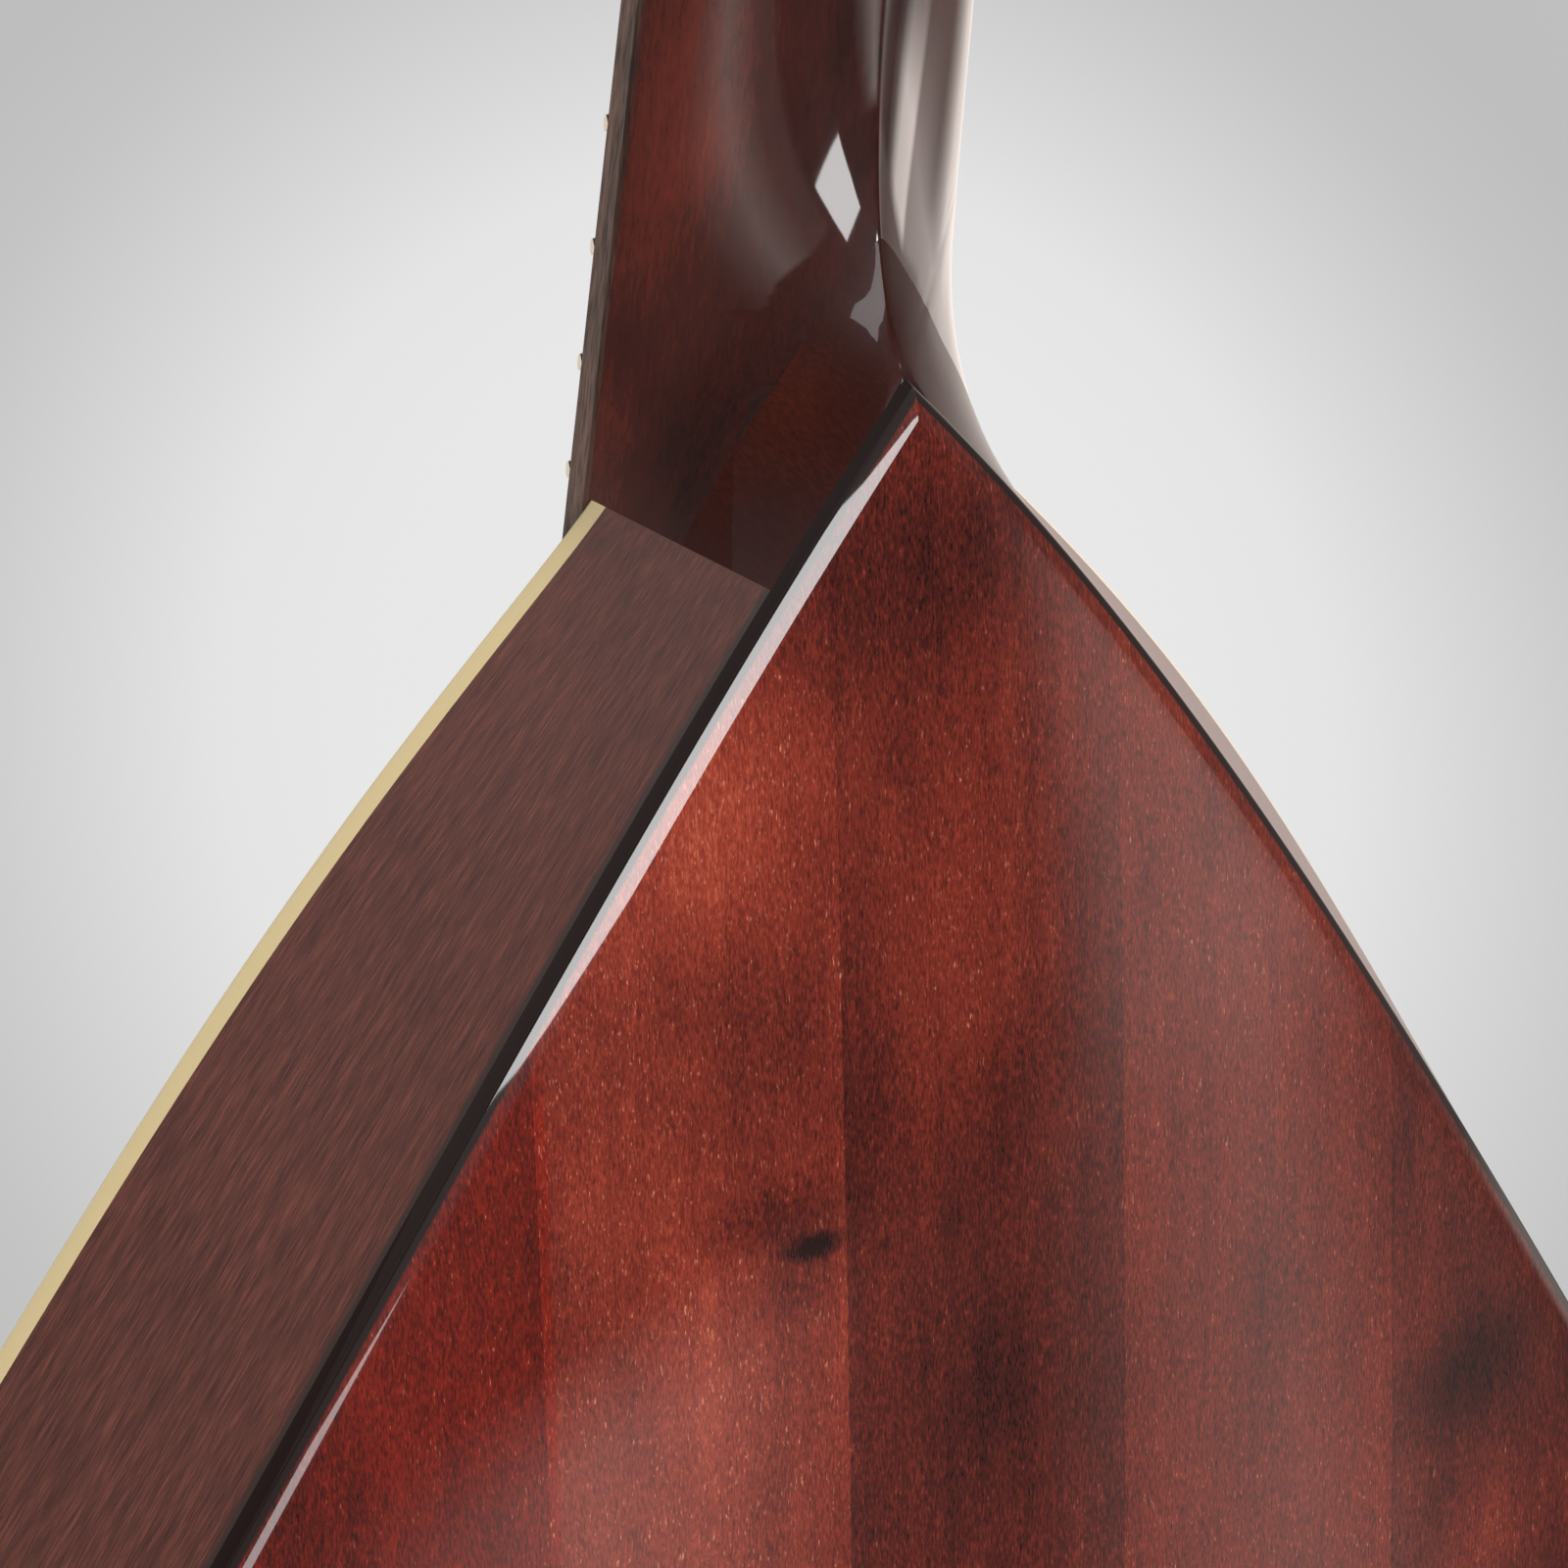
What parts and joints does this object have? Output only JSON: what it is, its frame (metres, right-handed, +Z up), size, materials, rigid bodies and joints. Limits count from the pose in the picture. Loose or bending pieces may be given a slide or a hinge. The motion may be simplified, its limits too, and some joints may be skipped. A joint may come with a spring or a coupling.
{
  "type": "portuguese mandolin",
  "caption": "Teardrop flat-top mandolin with a shallow arched back, pointed heel, paired strings, side-plate worm tuners, floating bridge and a tailpiece with a sliding cover.",
  "frame": {"origin": "middle of the nut's lower edge, in the plane where the fingerboard is glued to the neck, where a wall hanger's or a stand's yoke holds the neck", "axes": "+Z up the neck towards the headstock, -Y out of the soundboard, +X towards the treble side"},
  "size_m": [0.2298, 0.069, 0.6022],
  "materials": {
    "stained_back": "high gloss red-brown lacquer over edge-glued planks",
    "stained_neck": "high gloss dark red-brown lacquer",
    "dark_ribs": "satin dark brown stain",
    "spruce_top": "clear gloss lacquer on straight-grained spruce",
    "cream_binding": "polished cream",
    "rosewood": "oiled dark rosewood",
    "bone": "polished bone",
    "inner_wood": "bare wood",
    "tortoise": "polished dark brown",
    "nickel": "polished nickel plate",
    "worm_steel": "turned steel",
    "button_cream": "polished cream",
    "wound_string": "bronze-wound strings",
    "plain_string": "bright steel strings"
  },
  "bodies": {
    "instrument": {"soundboard": "spruce_top", "back_plate": "stained_back", "rib_bass": "dark_ribs", "rib_treble": "dark_ribs", "binding_bass": "cream_binding", "binding_treble": "cream_binding", "neck_block": "inner_wood", "tail_block": "inner_wood", "top_lining": "inner_wood", "back_lining": "inner_wood", "top_brace_1": "inner_wood", "top_brace_2": "inner_wood", "top_brace_3": "inner_wood", "back_brace_1": "inner_wood", "back_brace_2": "inner_wood", "rosette": "rosewood", "pickguard": "tortoise", "neck": "stained_neck", "heel": "stained_neck", "fingerboard": "rosewood", "nut": "bone", "tuner_plate_bass": "nickel", "tuner_plate_treble": "nickel", "bridge_base": "rosewood", "bridge_saddle": "bone", "tailpiece": "nickel", "end_button": "rosewood", "string_g1": "wound_string", "string_g2": "wound_string", "string_d1": "wound_string", "string_d2": "wound_string", "string_a1": "plain_string", "string_a2": "plain_string", "string_e1": "plain_string", "string_e2": "plain_string"},
    "cover": {"tailpiece_cover": "nickel"},
    "key_bass_1": {"worm_bass_1": "worm_steel", "button_bass_1": "button_cream"},
    "peg_bass_1": {"post_bass_1": "nickel"},
    "key_bass_2": {"worm_bass_2": "worm_steel", "button_bass_2": "button_cream"},
    "peg_bass_2": {"post_bass_2": "nickel"},
    "key_bass_3": {"worm_bass_3": "worm_steel", "button_bass_3": "button_cream"},
    "peg_bass_3": {"post_bass_3": "nickel"},
    "key_bass_4": {"worm_bass_4": "worm_steel", "button_bass_4": "button_cream"},
    "peg_bass_4": {"post_bass_4": "nickel"},
    "key_treble_1": {"worm_treble_1": "worm_steel", "button_treble_1": "button_cream"},
    "peg_treble_1": {"post_treble_1": "nickel"},
    "key_treble_2": {"worm_treble_2": "worm_steel", "button_treble_2": "button_cream"},
    "peg_treble_2": {"post_treble_2": "nickel"},
    "key_treble_3": {"worm_treble_3": "worm_steel", "button_treble_3": "button_cream"},
    "peg_treble_3": {"post_treble_3": "nickel"},
    "key_treble_4": {"worm_treble_4": "worm_steel", "button_treble_4": "button_cream"},
    "peg_treble_4": {"post_treble_4": "nickel"}
  },
  "joints": [
    {"name": "cover_slide", "type": "slide", "parent": "instrument", "child": "cover", "axis": [0, 0, -1], "range_m": [0, 0.034]},
    {"name": "key_turn_bass_1", "type": "hinge", "parent": "instrument", "child": "key_bass_1", "pos_m": [-0.018, 0.02176, 0.02124], "axis": [-1, 0, 0], "continuous": true},
    {"name": "post_turn_bass_1", "type": "hinge", "parent": "instrument", "child": "peg_bass_1", "pos_m": [-0.018, 0.00582, 0.03189], "axis": [0, -0.9781, 0.2079], "continuous": true},
    {"name": "key_turn_bass_2", "type": "hinge", "parent": "instrument", "child": "key_bass_2", "pos_m": [-0.018, 0.02675, 0.04472], "axis": [-1, 0, 0], "continuous": true},
    {"name": "post_turn_bass_2", "type": "hinge", "parent": "instrument", "child": "peg_bass_2", "pos_m": [-0.018, 0.01081, 0.05536], "axis": [0, -0.9781, 0.2079], "continuous": true},
    {"name": "key_turn_bass_3", "type": "hinge", "parent": "instrument", "child": "key_bass_3", "pos_m": [-0.018, 0.03174, 0.06819], "axis": [-1, 0, 0], "continuous": true},
    {"name": "post_turn_bass_3", "type": "hinge", "parent": "instrument", "child": "peg_bass_3", "pos_m": [-0.018, 0.0158, 0.07884], "axis": [0, -0.9781, 0.2079], "continuous": true},
    {"name": "key_turn_bass_4", "type": "hinge", "parent": "instrument", "child": "key_bass_4", "pos_m": [-0.018, 0.03673, 0.09167], "axis": [-1, 0, 0], "continuous": true},
    {"name": "post_turn_bass_4", "type": "hinge", "parent": "instrument", "child": "peg_bass_4", "pos_m": [-0.018, 0.02079, 0.10232], "axis": [0, -0.9781, 0.2079], "continuous": true},
    {"name": "key_turn_treble_1", "type": "hinge", "parent": "instrument", "child": "key_treble_1", "pos_m": [0.018, 0.02176, 0.02124], "axis": [1, 0, 0], "continuous": true},
    {"name": "post_turn_treble_1", "type": "hinge", "parent": "instrument", "child": "peg_treble_1", "pos_m": [0.018, 0.00582, 0.03189], "axis": [0, -0.9781, 0.2079], "continuous": true},
    {"name": "key_turn_treble_2", "type": "hinge", "parent": "instrument", "child": "key_treble_2", "pos_m": [0.018, 0.02675, 0.04472], "axis": [1, 0, 0], "continuous": true},
    {"name": "post_turn_treble_2", "type": "hinge", "parent": "instrument", "child": "peg_treble_2", "pos_m": [0.018, 0.01081, 0.05536], "axis": [0, -0.9781, 0.2079], "continuous": true},
    {"name": "key_turn_treble_3", "type": "hinge", "parent": "instrument", "child": "key_treble_3", "pos_m": [0.018, 0.03174, 0.06819], "axis": [1, 0, 0], "continuous": true},
    {"name": "post_turn_treble_3", "type": "hinge", "parent": "instrument", "child": "peg_treble_3", "pos_m": [0.018, 0.0158, 0.07884], "axis": [0, -0.9781, 0.2079], "continuous": true},
    {"name": "key_turn_treble_4", "type": "hinge", "parent": "instrument", "child": "key_treble_4", "pos_m": [0.018, 0.03673, 0.09167], "axis": [1, 0, 0], "continuous": true},
    {"name": "post_turn_treble_4", "type": "hinge", "parent": "instrument", "child": "peg_treble_4", "pos_m": [0.018, 0.02079, 0.10232], "axis": [0, -0.9781, 0.2079], "continuous": true}
  ],
  "couplings": [
    {"joint": "post_turn_bass_1", "follows": "key_turn_bass_1", "ratio": 0.071429},
    {"joint": "post_turn_bass_2", "follows": "key_turn_bass_2", "ratio": 0.071429},
    {"joint": "post_turn_bass_3", "follows": "key_turn_bass_3", "ratio": 0.071429},
    {"joint": "post_turn_bass_4", "follows": "key_turn_bass_4", "ratio": 0.071429},
    {"joint": "post_turn_treble_1", "follows": "key_turn_treble_1", "ratio": -0.071429},
    {"joint": "post_turn_treble_2", "follows": "key_turn_treble_2", "ratio": -0.071429},
    {"joint": "post_turn_treble_3", "follows": "key_turn_treble_3", "ratio": -0.071429},
    {"joint": "post_turn_treble_4", "follows": "key_turn_treble_4", "ratio": -0.071429}
  ]
}
